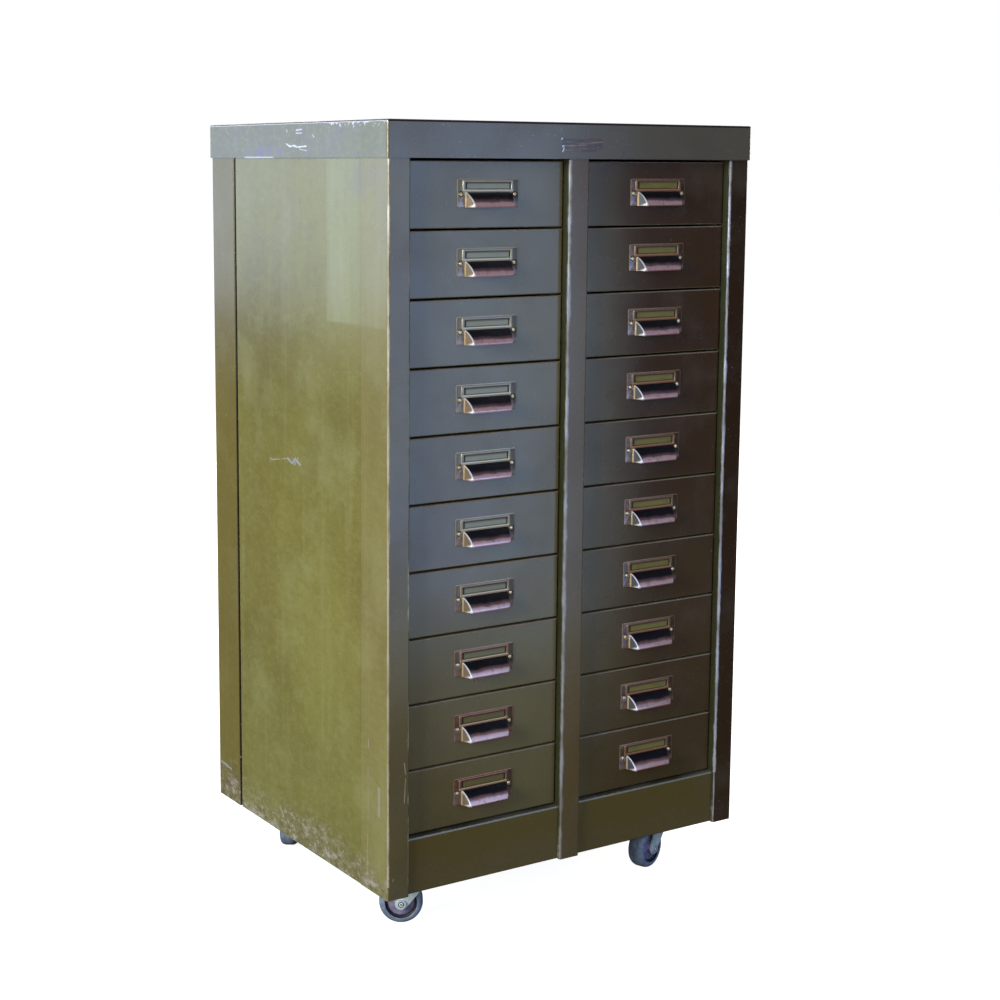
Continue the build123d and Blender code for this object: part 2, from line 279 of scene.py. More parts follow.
def on_side(*points, x=LEFT_X):
    """Points (y, z) in millimetres on the left side as places in the frame."""
    return [(x, y * MM, z * MM) for y, z in points]


def on_front(*points, y=FRONT_Y):
    """Points (x, z) in millimetres on the front uprights as places in the frame."""
    return [(x * MM, y, z * MM) for x, z in points]


def on_cap_side(*points):
    """Points (y, z) in millimetres on the cap's left side."""
    return on_side(*points, x=cap_low[0])


def on_cap_front(*points):
    """Points (x, z) in millimetres on the cap's front."""
    return on_front(*points, y=cap_low[1])


# Each scratch is a path, its half width and how bright it is.
BODY_SCRATCHES = (
    (on_side((81, 613), (78, 634), (70, 633), (23, 641)), 0.0013, 0.7),
    (on_side((23, 641), (10, 636), (1, 643), (-15, 637)), 0.0026, 0.85),
    (on_side((12, 645), (3, 634), (-8, 646)), 0.0016, 0.7),
    (on_side((-207, 286), (-207, 274)), 0.0009, 0.5),
    (on_side((-206, 246), (-206, 172)), 0.0007, 0.3),
    (on_side((-205, 152), (-204, 92)), 0.0008, 0.4),
    (on_side((-235, 223), (-235, 187)), 0.0040, 0.3),
    (on_side((14, 193), (-33, 191)), 0.0008, 0.6),
    (on_side((-17, 168), (-88, 171)), 0.0008, 0.6),
    (on_side((252, 125), (217, 122)), 0.0022, 0.7),
    (on_side((56, 110), (44, 99)), 0.0020, 0.7),
    (on_front((-279, 262), (-277, 246)), 0.0007, 0.9),
    (on_front((-277, 240), (-279, 206)), 0.0006, 0.8),
    (on_front((-297, 99), (-296, 102)), 0.0009, 0.8),
)
CAP_SCRATCHES = (
    (on_cap_side((16, 1088), (4, 1084), (-8, 1085), (-18, 1083), (-43, 1084)), 0.0014, 1.0),
    (on_cap_side((-24, 1080), (-44, 1078)), 0.0009, 0.6),
    (on_cap_side((-14, 1106), (-31, 1107)), 0.0009, 0.9),
    (on_cap_side((-14, 1102), (-31, 1102)), 0.0009, 0.9),
    (on_cap_side((14, 1107), (12, 1104)), 0.0010, 0.7),
    (on_cap_side((-62, 1099), (-66, 1096)), 0.0012, 0.8),
    (on_cap_front((-33, 1095), (-32, 1095.6)), 0.0011, 0.9),
    (on_cap_front((-31, 1085), (-29.6, 1086)), 0.0012, 0.9),
    (on_cap_front((-31, 1078), (-29, 1083)), 0.0010, 0.9),
)


class Enamel(Graph):
    """Old olive enamel: sun-faded, streaked, grimy low down and rubbed bare along its edges, with painted shade in
    its seams and recesses and painted highlights along its folds.

    Cycles keeps every value that is still to be used on one short stack, so few are held for
    long here and no bump is made from the bare metal.
    """

    def __init__(self, name):
        super().__init__(name)
        self.cloud = self.noise(3.2, detail=4.0)
        self.patchy = self.noise(11.0, shift=(2, 5, 1), detail=5.0, rough=0.6)
        self.streak = self.noise(
            9.0, stretch=(6, 6, 0.35), shift=(4, 1, 0), detail=4.0, rough=0.6
        )
        self.fine = self.noise(260.0, detail=2.0)
        self.speck = self.noise(420.0, shift=(7, 3, 2), detail=2.0, rough=0.7)
        self.chip_field = self.noise(170.0, shift=(1, 9, 4), detail=5.0, rough=0.62, warp=0.6)
        self.cluster = self.noise(14.0, shift=(3, 3, 8), detail=3.0)
        self.splashed = self.noise(130.0, stretch=(1, 0.55, 1), detail=6.0, rough=0.78)
        self.smudge = self.noise(
            24.0, stretch=(1, 1, 0.6), shift=(9, 1, 2), detail=5.0, rough=0.65
        )
        self.facing_front = self.rise(self.math("MULTIPLY", self.ny, -1.0), 0.55, 0.9)
        self.facing_side = self.rise(self.size(self.nx), 0.55, 0.9)
        steepest = self.most(self.size(self.nx), self.size(self.ny), self.size(self.nz))
        self.folded = self.fall(steepest, 0.86, 0.995)
        self.on_cap = self.rise(self.z, CAP_Z - 0.002, CAP_Z + 0.002)
        self.on_body = self.flip(self.on_cap)

    def side_paint(self):
        """The sides' sunlit olive, with the pale patch near the front, a grey toward the top that is partly
        painted sheen, and the cap's own tone.
        """
        paint = self.mix(self.rise(self.cloud, 0.3, 0.7), OLIVE_DEEP, OLIVE)
        paint = self.coat(paint, OLIVE_PALE, 0.45, self.rise(self.patchy, 0.45, 0.75))
        paint = self.coat(paint, OLIVE_PALE, 0.4, self.rise(self.streak, 0.5, 0.8))
        paint = self.coat(paint, rgb(116, 124, 76), 0.30, self.fall(self.z, 0.10, 0.45))
        paint = self.coat(paint, rgb(132, 138, 92), 0.20, self.rise(self.splashed, 0.50, 0.62))
        paint = self.coat(paint, rgb(82, 80, 32), 0.20, self.fall(self.splashed, 0.38, 0.48))
        # Painted sheen in part: the sides grow greyer toward the top, partly faded paint and partly the reflection
        # of bright light from above.
        high = self.rise(self.shaken(self.z, self.cloud, 0.5), 0.55, 1.12)
        paint = self.coat(paint, rgb(132, 140, 116), 0.16, high)
        faded = self.times(
            self.within(self.y, FRONT_Y + 0.005, FRONT_Y + 0.163, 0.002),
            self.rise(self.z, 0.846, 0.850), self.facing_side,
            self.rise(self.streak, 0.2, 0.8, 0.35, 1.0),
        )
        paint = self.coat(paint, rgb(146, 156, 134), 0.40, faded)

        at_rear = self.rise(self.y, REAR_Y - 0.077, REAR_Y - 0.074)
        near_corner = self.fall(self.y, WRAP_Y - 0.001, WRAP_Y)
        wrap_line = self.within(self.y, WRAP_Y - 0.0006, WRAP_Y + 0.0006, 0.0006)
        paint = self.coat(paint, rgb(100, 104, 92), 0.75, self.on_cap)
        paint = self.coat(paint, rgb(94, 82, 40), 0.6, at_rear, self.on_body)
        smudged, splashes = self.rise(self.smudge, 0.42, 0.62), self.rise(self.splashed, 0.48, 0.60)
        paint = self.coat(paint, rgb(106, 104, 112), 0.5, smudged, self.on_cap)
        paint = self.coat(paint, rgb(130, 134, 96), 0.35, splashes, self.on_cap)
        paint = self.coat(paint, rgb(104, 106, 140), 0.62, self.stains())
        paint = self.coat(paint, rgb(130, 120, 92), 0.26, near_corner, self.on_body)
        return self.coat(paint, rgb(84, 82, 44), 0.40, wrap_line, self.on_body)

    def stains(self):
        """Violet stains on the left side: two under the cap's corner and three on the cap."""
        spots = [
            self.times(self.spot((LEFT_X, y, z), (0.2, reach_y, reach_z), soft), strength)
            for y, z, reach_y, reach_z, soft, strength in (
                (FRONT_Y + 0.050, 1.050, 0.085, 0.052, -0.6, 0.9),
                (FRONT_Y + 0.010, 1.000, 0.030, 0.090, -0.6, 0.5),
                (0.095, 1.0765, 0.085, 0.010, 0.2, 0.9),
                (FRONT_Y + 0.085, 1.0740, 0.045, 0.007, 0.2, 0.8),
                (FRONT_Y + 0.100, 1.0980, 0.050, 0.020, 0.2, 0.35),
            )
        ]
        return self.times(self.most(*spots), self.rise(self.smudge, 0.38, 0.60, 0.15, 1.0))

    def front_paint(self, brown_and_shade):
        """The front's darker olive, yellower on the kick; toward the right it turns brown, partly brown staining
        and partly painted shade for the dark the glossy front mirrors, and the cap's front gets a painted grey
        sheen.
        """
        paint = self.mix(self.rise(self.cloud, 0.35, 0.65), FRONT_OLIVE, rgb(94, 82, 52))
        # Painted shade in part: the front turns brown toward the right, partly brown staining and partly the dark
        # the glossy front mirrors.
        paint = self.mix(brown_and_shade, paint, FRONT_BROWN_SHADE)
        on_kick = self.times(
            self.fall(self.z, KICK_Z, KICK_Z + 0.001),
            self.rise(self.y, FRONT_Y + 0.003, FRONT_Y + 0.006),
        )
        paint = self.coat(paint, rgb(87, 75, 35), 0.9, on_kick)
        at_foot = self.times(self.fall(self.z, 0.09, 0.32), self.flip(on_kick))
        paint = self.coat(paint, rgb(72, 66, 30), 0.35, at_foot)
        on_stile = self.within(self.x, stile_low[0], stile_high[0], 0.0005)
        paint = self.coat(paint, rgb(92, 66, 32), 0.40, on_stile, self.on_body)
        # Painted shade: the right post's front is darkened to near-black brown for the dark it mirrors.
        last_post = self.rise(self.x, RIGHT_X - POST_WIDTH - 0.002, RIGHT_X - POST_WIDTH + 0.001)
        paint = self.coat(paint, rgb(44, 26, 10), 0.8, last_post, self.on_body)
        paint = self.coat(paint, rgb(88, 79, 62), 0.30, self.rise(self.patchy, 0.5, 0.8))
        # Painted sheen: a grey laid over the cap's front.
        return self.coat(paint, rgb(84, 84, 86), 0.35, self.on_cap)

    def shade_and_highlight_lines(self, colour):
        """Painted shade in the open seams, on the recess returns and on the ledge over the kick panel, and painted
        highlights on the rims of the kick panel and the drawers.
        """
        # Painted shade: the side-facing returns in the front recesses are darkened.
        returns = self.times(
            self.facing_side, self.fall(self.size(self.x), RIGHT_X - 0.006, RIGHT_X - 0.004),
            self.fall(self.y, FRONT_Y + 0.030, FRONT_Y + 0.034),
        )
        colour = self.coat(colour, rgb(24, 34, 28), 0.85, returns)
        # Painted shade: the faces inside the open seam before each rear post are made near black.
        seam = self.times(
            self.within(self.y, SEAM_Y - 0.0028, SEAM_Y + 0.0026, 0.0006),
            self.fall(self.x, -0.002, 0.0), self.fall(self.z, CAP_Z - 0.002, CAP_Z),
        )
        colour = self.mix(seam, colour, rgb(14, 16, 8))
        # Painted shade: the up-facing ledge in the gap over the kick panel is made near black.
        kick_ledge = self.times(
            self.within(self.z, KICK_Z - 0.0030, KICK_Z + 0.0005, 0.0003),
            self.rise(self.nz, 0.6, 0.8),
        )
        colour = self.mix(kick_ledge, colour, rgb(12, 12, 8))
        # Painted highlight: a pale line along the kick panel's rounded top fold.
        kick_rim = self.times(
            self.within(self.z, KICK_Z - 0.0030, KICK_Z, 0.0004),
            self.within(self.nz, -0.1, 0.6, 0.05), self.facing_front,
            self.rise(self.y, FRONT_Y + 0.003, FRONT_Y + 0.005),
        )
        colour = self.coat(colour, rgb(136, 144, 142), 0.6, kick_rim)
        # Painted highlights: pinkish lines on the drawers' top chamfers, and on the left chamfers in the right
        # column.
        at_drawers = self.within(self.y, DRAWER_Y - 0.0005, DRAWER_Y + 0.002, 0.0003)
        drawer_edge = self.times(
            self.folded, self.fall(self.nx, -0.6, -0.35), self.rise(self.x, 0.0, 0.002), at_drawers
        )
        colour = self.coat(colour, rgb(150, 118, 104), 0.6, drawer_edge)
        drawer_rim = self.times(self.folded, self.rise(self.nz, 0.35, 0.6), at_drawers)
        return self.coat(colour, rgb(150, 132, 128), 0.7, drawer_rim)

    def plate_ghost(self, colour):
        """The rubbed place on the cap's front where a small plate has been."""
        ghost = self.times(
            self.facing_front, self.within(self.x, -0.031, 0.036, 0.001),
            self.within(self.z, 1.0785, 1.0955, 0.0008),
        )
        rubbed = self.noise(60.0, stretch=(0.4, 1, 6), shift=(0, 0, 3), detail=5.0, rough=0.7)
        colour = self.coat(colour, rgb(72, 58, 46), 0.85, ghost)
        return self.coat(colour, rgb(148, 128, 106), 0.6, ghost, self.rise(rubbed, 0.50, 0.62))

    def soil(self, colour, low, top_dust):
        """Grime, rust and scuffs round the foot, and dust on whatever faces up."""
        scuffs = self.times(self.rise(self.splashed, 0.49, 0.62), low)
        rusty = self.times(self.fall(self.splashed, 0.36, 0.46), low)
        colour = self.coat(colour, GRIME, 0.35, low)
        colour = self.coat(colour, rgb(58, 44, 30), 0.5, rusty)
        colour = self.coat(colour, rgb(160, 154, 164), 0.65, scuffs, self.facing_side)
        colour = self.coat(colour, rgb(150, 146, 140), 0.15, scuffs, self.flip(self.facing_side))
        return self.coat(colour, DUST, 0.5, top_dust)

    def bare_and_glint_band(self, x, y, reach, ragged, low=0.0, high=2.0, solid=0.55):
        """A band of bare metal up one edge from low to high, ragged where the paint holds; where it is wide and
        soft it is a painted highlight along the rounded fold.
        """
        across = self.node(
            "ShaderNodeCombineXYZ", {0: self.add(self.x, -x), 1: self.add(self.y, -y), 2: 0.0}
        )
        far = self.node("ShaderNodeVectorMath", {0: across.outputs[0]}, operation="LENGTH")
        away = self.shaken(far.outputs["Value"], ragged, reach * 1.8)
        return self.times(
            self.fall(away, reach * solid, reach), self.within(self.z, low, high, 0.001)
        )

    def worn_and_glinting_edges(self, ragged):
        """The uprights' front edges and the cap's corner, rubbed bare by passing hands and partly painted
        highlight where their rounded folds catch the light.
        """
        under_cap = CAP_Z - 0.002
        broken = self.rise(
            self.noise(26.0, stretch=(1, 1, 0.6), shift=(6, 2, 1), detail=4.0), 0.36, 0.6, 0.35, 1.0
        )
        chipped = self.times(
            self.bare_and_glint_band(
                LEFT_X + POST_WIDTH, FRONT_Y, 0.0030, ragged, high=CAP_Z - 0.004, solid=0.2
            ),
            self.rise(self.cluster, 0.50, 0.60),
        )
        left = self.bare_and_glint_band(LEFT_X, FRONT_Y, 0.0028, ragged, BASE_Z + 0.020, under_cap)
        # The stile's and right post's broad soft bands are partly wear and partly painted highlight on their
        # rounded folds.
        middle = self.bare_and_glint_band(stile_low[0], FRONT_Y, 0.0050, ragged, 0.0, under_cap, 0.2)
        right_x = RIGHT_X - POST_WIDTH
        right = self.bare_and_glint_band(right_x, FRONT_Y, 0.0042, ragged, KICK_Z, under_cap, 0.3)
        right_foot = self.bare_and_glint_band(right_x, FRONT_Y, 0.0017, ragged, high=KICK_Z)
        edges = self.times(self.most(
            chipped, self.times(left, 0.75), self.times(middle, 0.75), right,
            self.times(right_foot, 0.6),
        ), broken)
        cap_corner = self.bare_and_glint_band(cap_low[0], cap_low[1], 0.0015, ragged, low=CAP_Z)
        left_foot = self.bare_and_glint_band(
            LEFT_X, FRONT_Y, 0.0026, ragged, BASE_Z + 0.031, BASE_Z + 0.049
        )
        return self.most(edges, self.times(cap_corner, 0.8), left_foot)

    def bare_and_glint(self, scratches):
        """Where the paint is gone (edges, flakes, specks and the scratches), with painted highlights along the
        uprights' folds and the cap's top fold and lower hem.
        """
        ragged = self.noise(95.0, stretch=(1, 1, 0.4), shift=(0, 2, 6), detail=5.0, rough=0.65)
        edges = self.worn_and_glinting_edges(ragged)
        near_fold = self.times(
            self.folded, self.rise(self.size(self.add(self.y, -SEAM_Y)), 0.003, 0.006),
            self.rise(self.chip_field, 0.54, 0.64), self.rise(self.cluster, 0.42, 0.66),
        )
        flakes = self.times(
            self.rise(self.chip_field, 0.70, 0.73), self.rise(self.cluster, 0.52, 0.66)
        )
        dots = self.times(
            self.rise(self.speck, 0.70, 0.74),
            self.most(self.rise(self.cluster, 0.40, 0.55), self.fall(self.z, 0.22, 0.36)),
        )
        flaked_top = self.times(
            self.facing_side, self.within(self.y, FRONT_Y + 0.010, FRONT_Y + 0.135, 0.04),
            self.rise(
                self.shaken(self.z, self.chip_field, 0.045), ROOF_Z - 0.0035, ROOF_Z - 0.0015
            ),
        )
        # Painted highlight: a pale line along the cap's rounded top fold, mostly on its sides.
        roof_glint = self.times(
            self.rise(self.z, ROOF_Z - 0.0030, ROOF_Z - 0.0022), self.fall(self.nz, 0.8, 0.95),
            self.rise(self.size(self.ny), 0.5, 0.8, 1.0, 0.15),
        )
        # Painted highlight: a pale line along the cap's lower hem on its sides, toward the back.
        hem_glint = self.times(
            self.fall(self.z, CAP_Z + 0.0012, CAP_Z + 0.002),
            self.rise(self.z, CAP_Z - 0.001, CAP_Z),
            self.within(self.y, 0.06, 0.14, 0.01), self.facing_side,
        )
        bare = self.most(
            edges, self.times(near_fold, 0.55), self.times(flakes, 0.8), self.times(dots, 0.6),
            self.times(flaked_top, 0.9), self.times(roof_glint, 0.9), self.times(hem_glint, 0.8),
        )
        for path, width, strength in scratches:
            for start, end in zip(path, path[1:]):
                mark = self.scratch(start, end, width, ragged)
                bare = self.most(bare, self.times(mark, strength))
        return bare


def enamel(name, scratches=()):
    """The enamel's material, with the scratches of the node that it goes on."""
    g = Enamel(name)
    toward_right = g.rise(g.shaken(g.x, g.cloud, 0.16), -0.06, 0.16)
    # Painted shade in part: the brown toward the right stands partly for the dark the front mirrors and partly for
    # real staining.
    brown_and_shade = g.times(
        toward_right, g.blend(g.rise(g.z, 0.3, 0.75), 0.80, 0.95), g.blend(g.on_cap, 1.0, 0.35)
    )
    colour = g.mix(g.facing_front, g.side_paint(), g.front_paint(brown_and_shade))
    colour = g.plate_ghost(g.shade_and_highlight_lines(colour))
    low = g.times(
        g.fall(g.shaken(g.z, g.patchy, 0.10), 0.075, 0.135), g.blend(g.facing_front, 1.0, 0.3)
    )
    top_dust = g.times(g.rise(g.nz, 0.6, 0.95), g.rise(g.patchy, 0.3, 0.7, 0.25, 0.8))
    colour = g.soil(colour, low, top_dust)

    bare = g.bare_and_glint(scratches)
    # Painted shade: a near-black line along the cap's rounded top fold, whose specular is also turned down.
    roof_dark = g.times(
        g.rise(g.z, ROOF_Z - 0.0034, ROOF_Z - 0.0026),
        g.most(g.rise(g.nz, 0.15, 0.35), g.facing_front), g.fall(g.nz, 0.9, 0.98),
    )
    post_edge = LEFT_X + POST_WIDTH
    on_left_post = g.times(g.facing_front, g.fall(g.x, post_edge, post_edge + 0.002))
    metal = g.mix(on_left_post, g.mix(g.on_cap, BARE_GLINT, BARE_GLINT_BRIGHT), BARE_GLINT_CREAM)
    colour = g.coat(colour, PRIMER, 0.25, g.folded)
    colour = g.mix(bare, colour, metal)
    colour = g.coat(colour, rgb(26, 16, 26), 0.9, roof_dark)

    rough = g.blend(g.rise(g.patchy, 0.3, 0.75), 0.22, 0.32)
    rough = g.blend(g.most(low, top_dust), rough, 0.68)
    rough = g.blend(bare, rough, 0.38)
    wave = g.bump(g.noise(4.5, shift=(5, 5, 5), detail=1.0), 0.010, 0.10)
    dull = g.most(g.times(g.facing_front, brown_and_shade, 0.5), roof_dark)
    return g.finish(
        Base_Color=colour, Roughness=rough, Metallic=g.times(bare, 0.55),
        Normal=g.bump(g.fine, 0.0004, 0.16, wave), Specular_IOR_Level=g.blend(dull, 0.5, 0.0),
    )


def dull_enamel(name):
    """The inner steel: the same olive, thin, unpolished and dusty."""
    g = Graph(name)
    patchy = g.noise(16.0, detail=5.0, rough=0.6)
    streak = g.noise(22.0, stretch=(1, 0.2, 1), shift=(3, 0, 0), detail=4.0)
    rub = g.noise(240.0, shift=(0, 4, 0), detail=4.0, rough=0.7)
    colour = g.mix(g.rise(patchy, 0.35, 0.7), rgb(86, 84, 58), rgb(104, 100, 74))
    colour = g.coat(colour, rgb(126, 122, 108), 0.5, g.rise(streak, 0.5, 0.75))
    bare = g.times(g.rise(rub, 0.66, 0.7), g.rise(g.nz, 0.5, 0.9, 0.3, 1.0))
    colour = g.mix(bare, colour, rgb(150, 150, 152))
    rub = g.bump(rub, 0.0003, 0.3)
    return g.finish(
        Base_Color=colour, Roughness=g.blend(patchy, 0.45, 0.75), Metallic=g.times(bare, 0.5),
        Normal=rub,
    )


def zinc(name):
    """Bright zinc plate with clouded spangle and a little dirt."""
    g = Graph(name)
    cloud = g.noise(60.0, detail=4.0)
    brushed = g.noise(300.0, stretch=(1, 1, 0.15), detail=3.0)
    colour = g.mix(g.rise(cloud, 0.35, 0.7), rgb(206, 222, 236), rgb(168, 184, 198))
    dirt = g.rise(g.noise(130.0, shift=(2, 2, 2), detail=5.0, rough=0.7), 0.58, 0.74)
    colour = g.coat(colour, rgb(84, 80, 74), 0.55, dirt)
    return g.finish(
        Base_Color=colour, Metallic=0.35, Roughness=g.blend(cloud, 0.22, 0.42),
        Normal=g.bump(brushed, 0.0003, 0.25),
    )


def rubber(name):
    """Hard blue-grey rubber: dusty on the tread, wiped smooth on its flanks."""
    g = Graph(name)
    cloud = g.noise(70.0, detail=4.0)
    grain = g.noise(900.0, detail=2.0)
    colour = g.mix(g.rise(cloud, 0.35, 0.7), rgb(88, 102, 128), rgb(120, 136, 164))
    dust = g.rise(g.noise(210.0, shift=(1, 1, 1), detail=5.0, rough=0.7), 0.52, 0.72)
    colour = g.coat(colour, rgb(176, 186, 204), 0.45, dust)
    return g.finish(
        Base_Color=colour, Roughness=g.blend(cloud, 0.36, 0.55), Normal=g.bump(grain, 0.0002, 0.3),
    )


def on_pulls(g):
    """Where a point is on its pull: in the left column or not, height, and way to the left."""
    on_left = g.math("LESS_THAN", g.x, 0.0)
    up = g.math("MODULO", g.add(g.z, -PULL_Z), PITCH)
    along = g.math("SUBTRACT", g.blend(on_left, PULL_X["R"], PULL_X["L"]), g.x)
    return on_left, up, along


def bronze(name):
    """Oxidised bronze, rubbed pink and lilac where fingers reach, with painted light: the hood's near-black top
    under the label is painted dark reflection, its white end arrises are painted highlights, and the paler plates
    and rims of the upper left pulls are painted sheen.
    """
    g = Graph(name)
    cloud = g.noise(55.0, detail=5.0, rough=0.6)
    mottled = g.noise(190.0, shift=(5, 0, 2), detail=4.0, rough=0.65)
    on_left, up, along = on_pulls(g)
    out = g.add(g.times(g.y, -1.0), DRAWER_Y)
    across = g.size(along)
    steepest = g.most(g.size(g.nx), g.size(g.ny), g.size(g.nz))
    folded = g.fall(steepest, 0.80, 0.98)

    upper = g.rise(g.z, 0.25, 0.65)
    # Painted sheen: the plates and rims of the upper left pulls are paler grey.
    plate = g.mix(on_left, rgb(70, 52, 36), g.mix(upper, rgb(84, 64, 48), rgb(112, 108, 98)))
    plate = g.coat(plate, rgb(140, 108, 72), 0.45, g.rise(mottled, 0.45, 0.7))
    rim = g.mix(on_left, rgb(162, 124, 98), g.mix(upper, rgb(176, 116, 92), rgb(190, 182, 162)))
    border = g.most(
        g.rise(across, HALF_PULL - 1.4 * MM, HALF_PULL - 0.8 * MM),
        g.rise(up, PULL_HEIGHT - 1.4 * MM, PULL_HEIGHT - 0.8 * MM),
    )
    plate = g.coat(plate, rim, 0.55, border, g.fall(out, PLATE + 0.2 * MM, PLATE + 0.4 * MM))
    plate = g.coat(plate, rim, 0.75, folded, g.rise(out, PLATE + 0.1 * MM, PLATE + 0.4 * MM))
    foot_bar = g.times(
        g.within(up, HOOD_HEIGHT - 0.2 * MM, WINDOW_Z - 0.5 * MM, 0.2 * MM),
        g.fall(across, FRAME_WIDTH / 2 - 0.5 * MM, FRAME_WIDTH / 2),
    )
    foot_tone = g.mix(on_left, rgb(172, 112, 76), rgb(206, 180, 132))
    plate = g.coat(plate, foot_tone, 0.7, foot_bar)
    bars = g.times(
        g.rise(out, FRAME_TOP - 0.5 * MM, FRAME_TOP - 0.1 * MM),
        g.rise(up, HOOD_HEIGHT - 0.3 * MM, HOOD_HEIGHT + 0.1 * MM),
    )
    colour = g.coat(plate, rim, 0.25, bars)

    on_hood = g.times(
        g.fall(up, HOOD_HEIGHT - 0.6 * MM, HOOD_HEIGHT - 0.1 * MM),
        g.rise(out, PLATE - 0.2 * MM, PLATE + 0.4 * MM),
    )
    # Painted reflection: the hood goes near black toward its top, where it mirrors the dark, over its pink rubbed
    # bronze lower down.
    height = g.shaken(up, cloud, 6.0 * MM)
    hood = g.mix(g.rise(height, 5.5 * MM, 8.5 * MM), rgb(206, 170, 168), rgb(112, 82, 92))
    hood = g.coat(hood, rgb(156, 112, 92), 0.4, g.flip(upper))
    hood = g.mix(g.rise(height, 8.5 * MM, 12.5 * MM), hood, rgb(26, 24, 34))
    verdigris = g.times(g.rise(g.nz, 0.1, 0.3), g.rise(mottled, 0.5, 0.7))
    hood = g.coat(hood, rgb(44, 62, 66), 0.4, verdigris)
    lip = g.fall(up, HOOD_LIP - 0.6 * MM, HOOD_LIP + 0.2 * MM)
    hood = g.coat(hood, rgb(140, 62, 44), 0.85, lip)
    flank = g.times(g.rise(g.size(g.nx), 0.90, 0.96), g.rise(across, 30.0 * MM, 31.0 * MM))
    flank_tone = g.mix(on_left, rgb(104, 108, 118), rgb(156, 138, 120))
    flank_tone = g.mix(g.fall(out, 3.0 * MM, 4.4 * MM), flank_tone, rgb(236, 214, 176))
    hood = g.mix(flank, hood, flank_tone)
    # Painted highlight: a near-white line along each end arris of the hood.
    edge = g.add(along, g.add(g.times(out, HOOD_LEAN), -HOOD_WIDTH / 2))
    arris_glint = g.times(g.rise(edge, -3.0 * MM, -1.8 * MM), g.flip(flank), on_hood)
    hood = g.mix(arris_glint, hood, rgb(250, 248, 255))
    colour = g.mix(on_hood, colour, hood)
    stained = g.times(g.rise(mottled, 0.62, 0.74), g.flip(arris_glint))
    colour = g.coat(colour, rgb(70, 48, 42), 0.3, stained)
    shine = g.blend(on_hood, 0.35, g.blend(arris_glint, 0.6, 0.2))
    return g.finish(
        Base_Color=colour, Metallic=shine, Roughness=g.blend(cloud, 0.24, 0.42),
        Normal=g.bump(mottled, 0.0002, 0.25),
    )


def rivet_metal(name):
    """A rivet's rubbed steel dome."""
    g = Graph(name)
    worn = g.noise(500.0, detail=3.0)
    colour = g.mix(g.rise(worn, 0.45, 0.7), rgb(222, 204, 160), rgb(132, 100, 70))
    return g.finish(
        Base_Color=colour, Metallic=0.5, Roughness=g.blend(worn, 0.18, 0.35),
        Normal=g.bump(worn, 0.0002, 0.2),
    )


def rivet_shade(name):
    """Painted shade: the dark ring round a rivet's dome."""
    g = Graph(name)
    grit = g.noise(420.0, detail=4.0)
    colour = g.mix(g.rise(grit, 0.4, 0.65), rgb(24, 20, 20), rgb(52, 40, 34))
    return g.finish(
        Base_Color=colour, Roughness=g.blend(grit, 0.55, 0.85), Normal=g.bump(grit, 0.0002, 0.4)
    )


def card_stock(name):
    """Aged blank card: olive, with a paler grey-green on the upper cards of the left column that is painted sheen,
    a brown band at the top that is a painted shadow of the frame, and painted shade round its borders.
    """
    g = Graph(name)
    cloud = g.noise(38.0, stretch=(1, 1, 2.5), detail=4.0)
    fibre = g.noise(900.0, stretch=(0.3, 1, 1), detail=3.0)
    on_left, up, along = on_pulls(g)
    across = g.size(along)
    upper = g.rise(g.z, 0.25, 0.65)
    # Painted sheen: the upper cards in the left column are paler grey-green.
    colour = g.mix(on_left, rgb(116, 108, 56), g.mix(upper, rgb(100, 92, 54), rgb(144, 150, 142)))
    aged = g.times(g.rise(cloud, 0.45, 0.7), g.blend(on_left, 0.6, 0.1))
    colour = g.mix(aged, colour, rgb(92, 92, 40))
    # Painted shadow: a brown band under the frame's head bar.
    head_shadow = g.rise(up, WINDOW_TOP - 3.5 * MM, WINDOW_TOP - 1.9 * MM)
    colour = g.coat(colour, rgb(104, 88, 62), 0.75, head_shadow)
    # Painted shade: dark borders where the frame overhangs the card.
    edge = g.most(
        g.fall(up, WINDOW_Z - 0.1 * MM, WINDOW_Z + 1.5 * MM),
        g.rise(up, WINDOW_TOP - 1.3 * MM, WINDOW_TOP - 0.3 * MM),
        g.rise(across, WINDOW_WIDTH / 2 - 3.0 * MM, WINDOW_WIDTH / 2 - 2.0 * MM),
    )
    colour = g.coat(colour, rgb(26, 20, 18), 0.85, edge)
    return g.finish(
        Base_Color=colour, Roughness=g.blend(fibre, 0.6, 0.8), Normal=g.bump(fibre, 0.0001, 0.3),
        Specular_IOR_Level=0.2,
    )


def groove_shade(name):
    """Painted shade: the near-black, mottled with dirt, in the groove moulded into a wheel's flank and in the axle
    ends' hollows.
    """
    g = Graph(name)
    dirt = g.noise(160.0, detail=5.0, rough=0.7)
    colour = g.mix(g.rise(dirt, 0.4, 0.7), rgb(16, 17, 24), rgb(44, 46, 58))
    return g.finish(
        Base_Color=colour, Roughness=g.blend(dirt, 0.5, 0.8), Normal=g.bump(dirt, 0.0003, 0.3)
    )


def wheel_web(name):
    """The purple-grey web and hub inside the groove."""
    g = Graph(name)
    cloud = g.noise(80.0, detail=4.0)
    dirt = g.noise(260.0, detail=5.0, rough=0.7)
    colour = g.mix(g.rise(cloud, 0.35, 0.7), rgb(92, 90, 124), rgb(126, 124, 158))
    colour = g.coat(colour, rgb(58, 54, 66), 0.5, g.rise(dirt, 0.5, 0.7))
    return g.finish(
        Base_Color=colour, Roughness=g.blend(cloud, 0.4, 0.6), Normal=g.bump(dirt, 0.0003, 0.3)
    )


